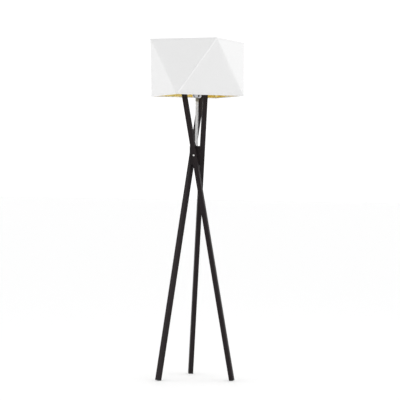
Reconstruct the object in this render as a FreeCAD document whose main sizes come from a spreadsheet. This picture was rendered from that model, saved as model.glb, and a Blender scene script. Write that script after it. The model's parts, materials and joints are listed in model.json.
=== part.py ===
"""Tripod floor lamp with a faceted shade, in millimetres, +Z up, standing on z = 0.

The lamp's axis is the Z axis. Three square legs are bolted to the faces of a three-sided hub,
and leg 1 has the face that looks along -Y. A tube stands on the hub and carries the lamp holder,
the shade and the bulb. Every size comes from the sheet "dims".
"""

import os

import FreeCAD
import Part
import Sketcher

document = FreeCAD.newDocument("TripodLamp")
sheet = document.addObject("Spreadsheet::Sheet", "dims")
nodes = []

# Driving sizes: alias, value, meaning. Lengths are in mm and angles in degrees.
DRIVING = [
    ("lamp_height", 1500, "floor to the top edge of the shade"),
    ("shade_height", 246, "bottom edge to top edge of the shade"),
    ("shade_reach", 224.5, "axis to each corner of the shade"),
    ("shade_turn", -50.75, "direction of one top corner"),
    ("cover_thick", 0.8, "outer fabric on its backing"),
    ("lining_thick", 0.5, "gold lining"),
    ("wire_radius", 1.75, "wire of the shade's two rings"),
    ("wire_bend", 9, "centreline radius of a ring's corners"),
    ("arm_radius", 1.5, "fitter arms"),
    ("fitter_height", 1284, "floor to the underside of the fitter ring"),
    ("fitter_thick", 1.5, "fitter ring"),
    ("fitter_inner", 20.3, "hole of the fitter ring"),
    ("fitter_outer", 27, "fitter ring"),
    ("leg_side", 20, "square section of a leg"),
    ("leg_edge", 0.3, "bevel on the long edges of a leg"),
    ("leg_lean", 10.61, "leg from the vertical, in the plane of its hub face"),
    ("leg_plane", 26.2, "axis to the middle plane of a leg"),
    ("pivot_height", 991, "floor to the hub bolts"),
    ("leg_up", 279, "bolt to the top end of a leg"),
    ("pad_thick", 5, "rubber pad under a leg"),
    ("pad_edge", 1.2, "bevel round the bottom of a pad"),
    ("floor_cut", 0.6, "how much the floor facet takes off the pad's lowest edge"),
    ("nail_radius", 1.1, "shank of the pad nail"),
    ("nail_length", 22, "pad nail with its head"),
    ("nail_head", 2.8, "head radius of the pad nail"),
    ("nail_head_thick", 1.2, "head of the pad nail"),
    ("nail_sunk", 1.4, "how deep the nail's head lies in the pad"),
    ("hub_face", 15.6, "axis to a face of the hub"),
    ("hub_corner", 30.3, "axis to a cut corner of the hub"),
    ("hub_height", 84, "block of the hub"),
    ("hub_bore", 4.6, "radius of the way for the lead"),
    ("bolt_radius", 2.5, "thread of a hub bolt"),
    ("bolt_length", 27, "hub bolt under its head"),
    ("bolt_head", 4.2, "head radius of a hub bolt"),
    ("bolt_head_thick", 2.4, "head of a hub bolt"),
    ("bolt_socket", 1.75, "corner radius of the hexagon socket"),
    ("bolt_play", 0.05, "radial clearance of a leg on its bolt"),
    ("insert_radius", 4, "threaded insert in the hub"),
    ("insert_length", 10, "threaded insert in the hub"),
    ("washer_radius", 8.5, "fibre washer between leg and hub"),
    ("rod_radius", 6, "outside of the tube"),
    ("rod_inner", 5, "inside of the tube"),
    ("rod_seat", 30, "how deep the tube sits in the hub"),
    ("rod_top", 1231, "floor to the top end of the tube"),
    ("grub_radius", 2, "set screw that holds the tube"),
    ("grub_length", 10, "set screw that holds the tube"),
    ("grub_depth", 15, "hub top to the set screw"),
    ("gland_flange", 8.5, "radius of the lead bush under the hub"),
    ("gland_thick", 2, "flange of the lead bush"),
    ("gland_stem", 14, "length of the lead bush in the hub"),
    ("gland_bore", 3.3, "hole for the lead"),
    ("nipple_inner", 3.6, "hole of the threaded nipple"),
    ("nipple_below", 19, "nipple inside the tube"),
    ("nipple_above", 8.5, "nipple inside the holder cap"),
    ("collar_radius", 6.7, "collar between tube and holder"),
    ("collar_neck", 5.9, "top of the collar"),
    ("collar_height", 13, "collar between tube and holder"),
    ("nut_corner", 7.5, "corner radius of the nipple nut"),
    ("nut_thick", 3.2, "nipple nut"),
    ("holder_radius", 19.7, "outside of the lamp holder"),
    ("holder_wall", 1, "sheet metal of the lamp holder"),
    ("cap_height", 24, "lower cap of the lamp holder"),
    ("spigot_height", 8, "part of the shell inside the cap"),
    ("shell_height", 38, "shell of the lamp holder above the cap"),
    ("thread_depth", 0.5, "thread outside the shell"),
    ("thread_pitch", 3, "thread outside the shell"),
    ("lip_radius", 16.2, "mouth of the lamp holder"),
    ("block_radius", 17.4, "ceramic block in the holder"),
    ("block_height", 14, "ceramic block in the holder"),
    ("sleeve_radius", 14.3, "screw sleeve for the bulb"),
    ("sleeve_inner", 13.6, "screw sleeve for the bulb"),
    ("sleeve_height", 30, "screw sleeve for the bulb"),
    ("tab_radius", 4, "centre contact"),
    ("tab_height", 2, "centre contact"),
    ("terminal_radius", 1.6, "terminal screw"),
    ("terminal_length", 6, "terminal screw under its head"),
    ("terminal_head", 2.9, "head radius of a terminal screw"),
    ("terminal_head_thick", 2, "head of a terminal screw"),
    ("terminal_reach", 9, "axis to a terminal screw"),
    ("ring_inner", 20, "hole of a shade ring nut"),
    ("ring_outer", 23.5, "outside of a shade ring nut"),
    ("ring_height", 5, "shade ring nut"),
    ("bulb_length", 106, "bulb from its contact to its top"),
    ("bulb_radius", 30, "widest part of the bulb"),
    ("bulb_cap", 13.2, "thread of the bulb"),
    ("bulb_cap_height", 24, "screw cap of the bulb"),
    ("bulb_wall", 1, "dome and cap of the bulb"),
    ("button_radius", 4.8, "solder contact of the bulb"),
    ("button_height", 1.5, "solder contact of the bulb"),
    ("glass_height", 3.5, "black insulator of the bulb"),
    ("body_height", 30, "white housing of the bulb"),
    ("board_radius", 23, "circuit board of the bulb"),
    ("board_thick", 1.6, "circuit board of the bulb"),
]

# Sizes that follow from the driving ones.
DERIVED = [
    ("leg_half", "leg_side / 2"),
    ("foot_reach", "(pivot_height - leg_half * sin(leg_lean) + floor_cut) / cos(leg_lean)"),
    ("leg_down", "foot_reach - pad_thick"),
    ("hub_bottom", "pivot_height - hub_height / 2"),
    ("hub_top", "hub_bottom + hub_height"),
    ("hub_flat", "(2 * hub_face - hub_corner) * tan(30)"),
    ("washer_thick", "leg_plane - leg_half - hub_face"),
    ("bolt_seat", "leg_plane + leg_half"),
    ("holder_bottom", "rod_top + collar_height"),
    ("shell_bottom", "holder_bottom + cap_height - spigot_height"),
    ("shell_total", "shell_height + spigot_height"),
    ("block_bottom", "shell_bottom - 4"),
    ("block_top", "block_bottom + block_height"),
    ("bulb_bottom", "block_top + tab_height"),
    ("shade_bottom", "lamp_height - shade_height"),
    ("shade_half", "shade_reach * cos(45)"),
    ("skin_slope", "sqrt(1 + ((shade_reach - shade_half) / shade_height) ^ 2)"),
    ("lining_in", "cover_thick * skin_slope"),
    ("room_in", "(cover_thick + lining_thick) * skin_slope"),
    ("ring_half", "shade_half - room_in - wire_radius"),
    ("arm_rise", "fitter_height + fitter_thick / 2 - shade_bottom - wire_radius"),
    ("arm_start", "fitter_outer - 1.5"),
    ("arm_run", "ring_half - arm_start"),
]


def fill_sheet():
    """Write the driving numbers and the formulas that depend on them."""
    row = 1
    for alias, number, meaning in DRIVING:
        sheet.set(f"A{row}", meaning)
        sheet.set(f"B{row}", str(number))
        sheet.setAlias(f"B{row}", alias)
        row += 1
    document.recompute()
    for alias, formula in DERIVED:
        sheet.set(f"A{row}", "derived")
        sheet.set(f"B{row}", f"={formula}")
        sheet.setAlias(f"B{row}", alias)
        document.recompute()
        row += 1


def value(expression):
    """The number that an expression over the sheet gives."""
    number = sheet.evalExpression(expression)
    return float(getattr(number, "Value", number))


def place(item, x="0", y="0", z="0", yaw="0", pitch="0"):
    """Bind an object's placement: turned about Y by pitch, then about Z by yaw, then moved."""
    rotation = f"rotation({yaw}; {pitch}; 0)"
    item.setExpression("Placement", f"placement(vector({x}; {y}; {z}); {rotation})")
    return item


def place_round(item, radius, angle, z, pitch):
    """Place an object at a radius from the lamp's axis, pitched in the plane of that radius."""
    x = f"({radius}) * cos({angle})"
    y = f"({radius}) * sin({angle})"
    return place(item, x=x, y=y, z=z, yaw=str(angle), pitch=pitch)


def keep(item, label):
    """Mark an object as one of the lamp's named pieces."""
    item.Label = label
    nodes.append(item)
    return item


def new_sketch(body, name, plane, offset="0"):
    """An empty sketch on one of the body's own planes, moved along the plane's normal."""
    sketch = body.newObject("Sketcher::SketchObject", name)
    support = [feature for feature in body.Origin.OriginFeatures if feature.Role == plane][0]
    sketch.AttachmentSupport = [(support, "")]
    sketch.MapMode = "FlatFace"
    sketch.setExpression("AttachmentOffset.Base.z", offset)
    return sketch


def hold(sketch, edge, end, corner):
    """Hold one end of an edge at a pair of expressions, measured from the sketch's origin."""
    for kind, expression in zip(("DistanceX", "DistanceY"), corner):
        rule = Sketcher.Constraint(kind, -1, 1, edge, end, value(expression))
        number = sketch.addConstraint(rule)
        sketch.setExpression(f"Constraints[{number}]", expression)


def outline(body, name, plane, corners, offset="0"):
    """A closed sketch of straight edges through corners given as pairs of expressions."""
    sketch = new_sketch(body, name, plane, offset)
    points = [FreeCAD.Vector(value(x), value(y), 0) for x, y in corners]
    count = len(points)
    for index in range(count):
        edge = Part.LineSegment(points[index], points[(index + 1) % count])
        sketch.addGeometry(edge, False)
    for index in range(count):
        joined = Sketcher.Constraint("Coincident", index, 2, (index + 1) % count, 1)
        sketch.addConstraint(joined)
    for index, corner in enumerate(corners):
        hold(sketch, index, 1, corner)
    return sketch


def turned(name, corners):
    """A body turned round its own Z axis from corners given as radius and height."""
    body = document.addObject("PartDesign::Body", name)
    sketch = outline(body, f"{name}_profile", "XZ_Plane", corners)
    feature = body.newObject("PartDesign::Revolution", f"{name}_turn")
    feature.Profile = (sketch, [""])
    feature.ReferenceAxis = (sketch, ["V_Axis"])
    feature.Angle = 360
    return body


def ring(name, inner, outer, height):
    """A plain ring round its own Z axis, from z = 0 upwards."""
    corners = [(inner, "0"), (outer, "0"), (outer, height), (inner, height)]
    return turned(name, corners)


def prism(name, plane, corners, length, offset="0"):
    """A body padded from an outline along the plane's normal."""
    body = document.addObject("PartDesign::Body", name)
    sketch = outline(body, f"{name}_outline", plane, corners, offset)
    feature = body.newObject("PartDesign::Pad", f"{name}_pad")
    feature.Profile = (sketch, [""])
    feature.setExpression("Length", length)
    return body


def bar(name, radius, length):
    """A cylinder along its own Z axis, placed by the caller."""
    tool = document.addObject("Part::Cylinder", name)
    tool.setExpression("Radius", radius)
    tool.setExpression("Height", length)
    return tool


def hexagon(name, radius, height):
    """A six-sided prism along its own Z axis, placed by the caller."""
    tool = document.addObject("Part::Prism", name)
    tool.Polygon = 6
    tool.setExpression("Circumradius", radius)
    tool.setExpression("Height", height)
    return tool


def fuse(name, parts):
    """Several solids that overlap, as one."""
    joined = document.addObject("Part::MultiFuse", name)
    joined.Shapes = parts
    return joined


def cut(name, base, tools):
    """A solid without the room of the tools."""
    result = document.addObject("Part::Cut", name)
    result.Base = base
    result.Tool = tools[0] if len(tools) == 1 else fuse(f"{name}_tools", tools)
    return result


def group(name, parts):
    """Separate equal solids kept as one named piece."""
    compound = document.addObject("Part::Compound", name)
    compound.Links = parts
    return compound


# ---------------------------------------------------------------- legs


def leg_angle(index):
    """The direction that the hub face of a leg looks in."""
    return 120 * index - 90


def place_leg_piece(item, index):
    """Place a piece that was drawn round its leg's bolt with the leg upright."""
    angle = leg_angle(index)
    x = f"dims.leg_plane * cos({angle})"
    y = f"dims.leg_plane * sin({angle})"
    yaw = str(angle + 90)
    return place(item, x=x, y=y, z="dims.pivot_height", yaw=yaw, pitch="-dims.leg_lean")


def square_corners(half, edge):
    """The corners of a square with bevelled edges, anticlockwise."""
    inner = f"{half} - {edge}"
    corners = []
    for across, along in (("", ""), ("-", ""), ("-", "-"), ("", "-")):
        near = (f"{across}({half})", f"{along}({inner})")
        far = (f"{across}({inner})", f"{along}({half})")
        corners += [near, far] if across == along else [far, near]
    return corners


def make_leg(index):
    """One square leg with the hole for its bolt and the hole for its pad nail."""
    name = f"leg_{index + 1}"
    corners = square_corners("dims.leg_half", "dims.leg_edge")
    length = "dims.leg_down + dims.leg_up"
    timber = prism(f"{name}_timber", "XY_Plane", corners, length, "-dims.leg_down")
    bolt_hole = bar(f"{name}_bolt_hole", "dims.bolt_radius + dims.bolt_play", "dims.leg_side + 4")
    bolt_hole.setExpression(
        "Placement", "placement(vector(0; dims.leg_half + 2; 0); rotation(0; 0; 90))"
    )
    nail_hole = bar(
        f"{name}_nail_hole", "dims.nail_radius", "dims.nail_length + dims.nail_sunk - dims.pad_thick"
    )
    place(nail_hole, z="-dims.leg_down")
    leg = cut(name, timber, [bolt_hole, nail_hole])
    return keep(place_leg_piece(leg, index), name)


def make_pad(index):
    """The rubber pad on a leg's lower end, with a facet that lies flat on the floor."""
    name = f"foot_pad_{index + 1}"
    low = "-dims.foot_reach"
    high = "-dims.leg_down"
    facet = "-dims.leg_half + dims.floor_cut / sin(dims.leg_lean)"
    facet_end = "-(dims.pivot_height - dims.leg_half * sin(dims.leg_lean)) / cos(dims.leg_lean)"
    corners = [
        ("-dims.leg_half", high),
        ("-dims.leg_half", facet_end),
        (facet, low),
        ("dims.leg_half - dims.pad_edge", low),
        ("dims.leg_half", f"{low} + dims.pad_edge"),
        ("dims.leg_half", high),
    ]
    block = prism(f"{name}_block", "XZ_Plane", corners, "dims.leg_side", "-dims.leg_half")
    shank = bar(f"{name}_shank_hole", "dims.nail_radius", "dims.pad_thick + 2")
    place(shank, z="-dims.foot_reach - 1")
    recess = bar(f"{name}_head_hole", "dims.nail_head", "dims.nail_sunk + dims.nail_head_thick")
    place(recess, z="-dims.foot_reach")
    pad = cut(name, block, [shank, recess])
    return keep(place_leg_piece(pad, index), name)


def make_nail(index):
    """The nail that holds a pad to the end grain of its leg."""
    name = f"foot_nail_{index + 1}"
    foot = "-dims.foot_reach + dims.nail_sunk"
    top = f"{foot} + dims.nail_length"
    corners = [
        ("0", foot),
        ("dims.nail_head", foot),
        ("dims.nail_head", f"{foot} + dims.nail_head_thick"),
        ("dims.nail_radius", f"{foot} + dims.nail_head_thick"),
        ("dims.nail_radius", f"{top} - 2"),
        ("0", top),
    ]
    return keep(place_leg_piece(turned(name, corners), index), name)


# ---------------------------------------------------------------- hub


def hub_corners():
    """The outline of the hub: three faces and three cut corners."""
    corners = []
    for middle in (90, 210, 330):
        for side in ("-", ""):
            along = f"dims.hub_corner * cos({middle}) + ({side}dims.hub_flat) * cos({middle + 90})"
            across = f"dims.hub_corner * sin({middle}) + ({side}dims.hub_flat) * sin({middle + 90})"
            corners.append((along, across))
    return corners


def make_hub():
    """The three-sided block, with the tube's seat, the lead's way and the screw holes."""
    block = prism("hub_block", "XY_Plane", hub_corners(), "dims.hub_height")
    way = place(bar("hub_way", "dims.hub_bore", "dims.hub_height + 2"), z="-1")
    seat = bar("hub_seat", "dims.rod_radius", "dims.rod_seat + 1")
    place(seat, z="dims.hub_height - dims.rod_seat")
    tools = [way, seat]
    for index in range(3):
        hole = bar(f"hub_insert_hole_{index + 1}", "dims.insert_radius", "dims.insert_length + 1")
        start = "dims.hub_face - dims.insert_length"
        place_round(hole, start, leg_angle(index), "dims.hub_height / 2", "90")
        tools.append(hole)
    grub_hole = bar("hub_grub_hole", "dims.grub_radius", "dims.hub_corner")
    place_round(grub_hole, "dims.rod_inner", 90, "dims.hub_height - dims.grub_depth", "90")
    tools.append(grub_hole)
    hub = cut("hub", block, tools)
    return keep(place(hub, z="dims.hub_bottom"), "hub")


def make_inserts():
    """The brass inserts that the hub bolts screw into."""
    items = []
    for index in range(3):
        item = ring(f"insert_{index + 1}", "dims.bolt_radius", "dims.insert_radius", "dims.insert_length")
        start = "dims.hub_face - dims.insert_length"
        items.append(place_round(item, start, leg_angle(index), "dims.pivot_height", "90"))
    return keep(group("hub_inserts", items), "hub_inserts")


def make_washers():
    """The fibre washers between the hub and the legs."""
    items = []
    for index in range(3):
        item = ring(f"washer_{index + 1}", "dims.bolt_radius", "dims.washer_radius", "dims.washer_thick")
        items.append(place_round(item, "dims.hub_face", leg_angle(index), "dims.pivot_height", "90"))
    return keep(group("friction_washers", items), "friction_washers")


def make_bolts():
    """The three hub bolts, each with a low round head and a hexagon socket."""
    items = []
    crown = "dims.bolt_length + dims.bolt_head_thick"
    corners = [
        ("0", "0"),
        ("dims.bolt_radius - 0.5", "0"),
        ("dims.bolt_radius", "0.5"),
        ("dims.bolt_radius", "dims.bolt_length"),
        ("dims.bolt_head", "dims.bolt_length"),
        ("dims.bolt_head", f"{crown} - 1.4"),
        ("dims.bolt_head - 0.5", f"{crown} - 0.5"),
        ("dims.bolt_head - 1.6", crown),
        ("0", crown),
    ]
    for index in range(3):
        blank = turned(f"bolt_blank_{index + 1}", corners)
        socket = hexagon(f"bolt_socket_{index + 1}", "dims.bolt_socket", "dims.bolt_head_thick")
        place(socket, z=f"{crown} - 1.5")
        bolt = cut(f"bolt_{index + 1}", blank, [socket])
        start = "dims.bolt_seat - dims.bolt_length"
        items.append(place_round(bolt, start, leg_angle(index), "dims.pivot_height", "90"))
    return keep(group("hub_bolts", items), "hub_bolts")


def make_hub_fittings():
    """The set screw that holds the tube and the bush that guides the lead."""
    grub = bar("grub_blank", "dims.grub_radius", "dims.grub_length")
    key = place(hexagon("grub_key", "1.15", "3"), z="dims.grub_length - 2")
    screw = cut("rod_set_screw", grub, [key])
    place_round(screw, "dims.rod_radius", 90, "dims.hub_top - dims.grub_depth", "90")
    keep(screw, "rod_set_screw")
    corners = [
        ("dims.gland_bore", "0"),
        ("dims.gland_flange - 0.8", "0"),
        ("dims.gland_flange", "0.8"),
        ("dims.gland_flange", "dims.gland_thick"),
        ("dims.hub_bore", "dims.gland_thick"),
        ("dims.hub_bore", "dims.gland_thick + dims.gland_stem"),
        ("dims.gland_bore", "dims.gland_thick + dims.gland_stem"),
    ]
    bush = turned("lead_bush", corners)
    keep(place(bush, z="dims.hub_bottom - dims.gland_thick"), "lead_bush")


# ---------------------------------------------------------------- tube and lamp holder


def make_tube():
    """The tube on the hub, its nipple and the collar under the lamp holder."""
    length = "dims.rod_top - dims.hub_top + dims.rod_seat"
    tube = ring("rod", "dims.rod_inner", "dims.rod_radius", length)
    keep(place(tube, z="dims.hub_top - dims.rod_seat"), "rod")
    length = "dims.nipple_below + dims.collar_height + dims.nipple_above"
    nipple = ring("nipple", "dims.nipple_inner", "dims.rod_inner", length)
    keep(place(nipple, z="dims.rod_top - dims.nipple_below"), "nipple")
    corners = [
        ("dims.rod_inner", "0"),
        ("dims.collar_radius - 0.5", "0"),
        ("dims.collar_radius", "0.5"),
        ("dims.collar_radius", "dims.collar_height - 3.5"),
        ("dims.collar_neck", "dims.collar_height - 2.5"),
        ("dims.collar_neck", "dims.collar_height"),
        ("dims.rod_inner", "dims.collar_height"),
    ]
    keep(place(turned("collar", corners), z="dims.rod_top"), "collar")


def make_holder_cap():
    """The rounded lower cap of the lamp holder and the nut that clamps it to the nipple."""
    corners = [
        ("dims.rod_inner", "0"),
        ("8", "0"),
        ("13", "1.2"),
        ("17.6", "4.8"),
        ("dims.holder_radius", "10"),
        ("dims.holder_radius", "dims.cap_height"),
        ("dims.holder_radius - dims.holder_wall", "dims.cap_height"),
        ("dims.holder_radius - dims.holder_wall", "10.3"),
        ("16.8", "5.7"),
        ("12.6", "2.3"),
        ("8", "dims.holder_wall"),
        ("dims.rod_inner", "dims.holder_wall"),
    ]
    keep(place(turned("holder_cap", corners), z="dims.holder_bottom"), "holder_cap")
    blank = hexagon("nipple_nut_blank", "dims.nut_corner", "dims.nut_thick")
    hole = place(bar("nipple_nut_hole", "dims.rod_inner", "dims.nut_thick + 2"), z="-1")
    nut = cut("nipple_nut", blank, [hole])
    keep(place(nut, z="dims.holder_bottom + dims.holder_wall"), "nipple_nut")


def make_holder_shell():
    """The upper shell of the lamp holder, threaded outside for the shade ring nuts."""
    outer = "dims.holder_radius"
    groove = "dims.holder_radius - dims.thread_depth"
    inner = "dims.holder_radius - dims.holder_wall - 0.1"
    spigot = "dims.spigot_height"
    corners = [
        ("dims.block_radius + 0.2", "0"),
        ("dims.holder_radius - dims.holder_wall", "0"),
        ("dims.holder_radius - dims.holder_wall", spigot),
        (outer, spigot),
    ]
    for turn in range(10):
        start = f"{spigot} + 4 + {turn} * dims.thread_pitch"
        corners += [
            (outer, start),
            (groove, f"{start} + 0.8"),
            (groove, f"{start} + 1.4"),
            (outer, f"{start} + 2.2"),
        ]
    corners += [
        (outer, "dims.shell_total"),
        ("dims.lip_radius", "dims.shell_total"),
        ("dims.lip_radius", "dims.shell_total - dims.holder_wall"),
        (f"{inner} - 0.5", "dims.shell_total - dims.holder_wall"),
        (f"{inner} - 0.5", f"{spigot} + 2"),
        ("dims.block_radius + 0.2", f"{spigot} + 1"),
    ]
    keep(place(turned("holder_shell", corners), z="dims.shell_bottom"), "holder_shell")


def make_holder_inside():
    """The ceramic block, the screw sleeve, the centre contact and the terminal screws."""
    disc = ring("block_disc", "2", "dims.block_radius", "dims.block_height")
    holes = []
    screws = []
    for index in range(2):
        hole = bar(f"terminal_hole_{index + 1}", "dims.terminal_radius", "dims.terminal_length")
        place(hole, x=f"{1 - 2 * index} * dims.terminal_reach")
        holes.append(hole)
        head = "dims.terminal_head_thick"
        corners = [
            ("0", "0"),
            ("dims.terminal_head", "0"),
            ("dims.terminal_head", head),
            ("dims.terminal_radius", head),
            ("dims.terminal_radius", f"{head} + dims.terminal_length"),
            ("0", f"{head} + dims.terminal_length"),
        ]
        screw = turned(f"terminal_{index + 1}", corners)
        x = f"{1 - 2 * index} * dims.terminal_reach"
        screws.append(place(screw, x=x, z=f"dims.block_bottom - {head}"))
    block = cut("holder_block", disc, holes)
    keep(place(block, z="dims.block_bottom"), "holder_block")
    keep(group("terminal_screws", screws), "terminal_screws")
    sleeve = ring("screw_sleeve", "dims.sleeve_inner", "dims.sleeve_radius", "dims.sleeve_height")
    keep(place(sleeve, z="dims.block_top"), "screw_sleeve")
    tab = bar("centre_contact", "dims.tab_radius", "dims.tab_height")
    keep(place(tab, z="dims.block_top"), "centre_contact")


def make_ring_nuts():
    """The two ring nuts on the holder's thread that clamp the shade's fitter."""
    levels = {
        "shade_nut_lower": "dims.fitter_height - dims.ring_height",
        "shade_nut_upper": "dims.fitter_height + dims.fitter_thick",
    }
    corners = [
        ("dims.ring_inner", "0"),
        ("dims.ring_outer - 0.6", "0"),
        ("dims.ring_outer", "0.6"),
        ("dims.ring_outer", "dims.ring_height - 0.6"),
        ("dims.ring_outer - 0.6", "dims.ring_height"),
        ("dims.ring_inner", "dims.ring_height"),
    ]
    for name, level in levels.items():
        keep(place(turned(name, corners), z=level), name)


# ---------------------------------------------------------------- shade


def pyramid(name, low_half, high_half):
    """A square block from z = 0 to the shade's height whose sides lean."""
    wedge = document.addObject("Part::Wedge", name)
    bounds = {"X": low_half, "Z": low_half, "X2": high_half, "Z2": high_half}
    for side, half in bounds.items():
        wedge.setExpression(f"{side}min", f"-({half})")
        wedge.setExpression(f"{side}max", half)
    wedge.Ymin = 0
    wedge.setExpression("Ymax", "dims.shade_height")
    wedge.setExpression("Placement", "placement(vector(0; 0; 0); rotation(0; 0; 90))")
    return wedge


def facets(name, inset):
    """The solid with eight triangular sides between the turned bottom and top squares."""
    wide = f"dims.shade_reach - {inset}"
    narrow = f"dims.shade_half - {inset}"
    opening = pyramid(f"{name}_opening", narrow, wide)
    closing = pyramid(f"{name}_closing", wide, narrow)
    turned_top = document.addObject("Part::Compound", f"{name}_turned")
    turned_top.Links = [closing]
    place(turned_top, yaw="45")
    common = document.addObject("Part::MultiCommon", name)
    common.Shapes = [opening, turned_top]
    return common


def make_skins():
    """The outer fabric and the gold lining, both open at the top and the bottom."""
    layers = {
        "shade_cover": ("0", "dims.lining_in"),
        "shade_lining": ("dims.lining_in", "dims.room_in"),
    }
    for name, (outer, inner) in layers.items():
        skin = cut(name, facets(f"{name}_outer", outer), [facets(f"{name}_inner", inner)])
        keep(place(skin, z="dims.shade_bottom", yaw="dims.shade_turn"), name)


def wire_ring(name):
    """A square ring of round wire with rounded corners, round its own Z axis."""
    half = "dims.ring_half"
    body = document.addObject("PartDesign::Body", name)
    section = new_sketch(body, f"{name}_section", "XZ_Plane")
    centre = FreeCAD.Vector(value(half), 0, 0)
    circle = Part.Circle(centre, FreeCAD.Vector(0, 0, 1), value("dims.wire_radius"))
    section.addGeometry(circle, False)
    hold(section, 0, 3, (half, "0"))
    rule = section.addConstraint(Sketcher.Constraint("Radius", 0, value("dims.wire_radius")))
    section.setExpression(f"Constraints[{rule}]", "dims.wire_radius")
    path = new_sketch(body, f"{name}_path", "XY_Plane")
    draw_path(path, half, "dims.wire_bend")
    sweep = body.newObject("PartDesign::AdditivePipe", f"{name}_sweep")
    sweep.Profile = (section, [""])
    sweep.Spine = (path, [""])
    return body


def draw_path(path, half, bend):
    """A square of the given half side with rounded corners, from the middle of one side on."""
    straight = f"({half} - {bend})"
    stops = [(half, "0"), (half, straight)]
    for along, across in (("", ""), ("-", ""), ("-", "-"), ("", "-")):
        if along == across:
            stops += [(f"{along}{straight}", f"{across}{half}")]
            stops += [(f"{'' if along else '-'}{straight}", f"{across}{half}")]
        else:
            stops += [(f"{along}{half}", f"{across}{straight}")]
            stops += [(f"{along}{half}", f"{'' if across else '-'}{straight}")]
    stops[-1] = (half, "0")
    points = [FreeCAD.Vector(value(x), value(y), 0) for x, y in stops]
    quarter = value(bend) * (1 - 0.5**0.5)
    for index in range(len(points) - 1):
        start, end = points[index], points[index + 1]
        if index % 2 == 0:
            edge = Part.LineSegment(start, end)
        else:
            corner = FreeCAD.Vector(max(start.x, end.x, key=abs), max(start.y, end.y, key=abs), 0)
            inward = FreeCAD.Vector(-1 if corner.x > 0 else 1, -1 if corner.y > 0 else 1, 0)
            edge = Part.Arc(start, corner + inward * quarter, end)
        path.addGeometry(edge, False)
    bind_path(path, stops, bend)


def bind_path(path, stops, bend):
    """Hold the ends of the path's straight edges and the radius of its corners."""
    count = len(stops) - 1
    for index in range(0, count, 2):
        hold(path, index, 1, stops[index])
        if index < count - 1:
            hold(path, index, 2, stops[index + 1])
    for index in range(1, count, 2):
        arc_start, arc_end = path_ends(path, index, stops)
        path.addConstraint(Sketcher.Constraint("Coincident", index - 1, 2, index, arc_start))
        path.addConstraint(Sketcher.Constraint("Coincident", index, arc_end, index + 1, 1))
        rule = path.addConstraint(Sketcher.Constraint("Radius", index, value(bend)))
        path.setExpression(f"Constraints[{rule}]", bend)
    path.addConstraint(Sketcher.Constraint("Coincident", count - 1, 2, 0, 1))


def path_ends(path, index, stops):
    """Which end of an arc (1 or 2) meets the edge before it, and which the edge after it."""
    arc = path.Geometry[index]
    before = FreeCAD.Vector(value(stops[index][0]), value(stops[index][1]), 0)
    return (1, 2) if (arc.StartPoint - before).Length < 0.001 else (2, 1)


def make_frame():
    """The bottom ring with its fitter, welded into one piece, and the loose top ring."""
    low = place(wire_ring("bottom_wire"), z="dims.wire_radius")
    rise = "dims.fitter_height - dims.shade_bottom"
    centre = ring("fitter_ring", "dims.fitter_inner", "dims.fitter_outer", "dims.fitter_thick")
    parts = [low, place(centre, z=rise)]
    for index in range(4):
        arm = bar(f"fitter_arm_{index + 1}", "dims.arm_radius", "sqrt(dims.arm_run^2 + dims.arm_rise^2)")
        level = f"{rise} + dims.fitter_thick / 2"
        place_round(arm, "dims.arm_start", 90 * index, level, "90 deg + atan(dims.arm_rise / dims.arm_run)")
        parts.append(arm)
    frame = fuse("shade_fitter_frame", parts)
    keep(place(frame, z="dims.shade_bottom", yaw="dims.shade_turn"), "shade_fitter_frame")
    high = wire_ring("shade_top_wire")
    level = "dims.lamp_height - dims.wire_radius"
    keep(place(high, z=level, yaw="dims.shade_turn + 45"), "shade_top_wire")


# ---------------------------------------------------------------- bulb


def make_bulb_foot():
    """The solder contact, the insulator and the screw cap of the bulb."""
    button = bar("bulb_contact", "dims.button_radius", "dims.button_height")
    keep(place(button, z="dims.bulb_bottom"), "bulb_contact")
    glass = [
        ("0", "0"),
        ("dims.button_radius", "0"),
        ("dims.bulb_cap - 3.2", "dims.glass_height - 1"),
        ("dims.bulb_cap - 3.2", "dims.glass_height"),
        ("0", "dims.glass_height"),
    ]
    level = "dims.bulb_bottom + dims.button_height"
    keep(place(turned("bulb_insulator", glass), z=level), "bulb_insulator")
    inner = "dims.bulb_cap - 0.7 - dims.bulb_wall"
    corners = [(inner, "0"), ("dims.bulb_cap - 3.2", "0")]
    for turn in range(5):
        start = f"1.6 + {turn} * 3.6"
        corners += [
            ("dims.bulb_cap - 0.7", start),
            ("dims.bulb_cap", f"{start} + 1.2"),
            ("dims.bulb_cap", f"{start} + 2.2"),
        ]
    corners += [
        ("dims.bulb_cap - 0.7", "dims.bulb_cap_height - 3"),
        ("dims.bulb_cap - 0.7", "dims.bulb_cap_height"),
        (inner, "dims.bulb_cap_height"),
    ]
    corners[0] = ("dims.bulb_cap - 4.2", "0")
    corners.append((inner, "2.4"))
    level = "dims.bulb_bottom + dims.button_height + dims.glass_height"
    keep(place(turned("bulb_cap", corners), z=level), "bulb_cap")


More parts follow.
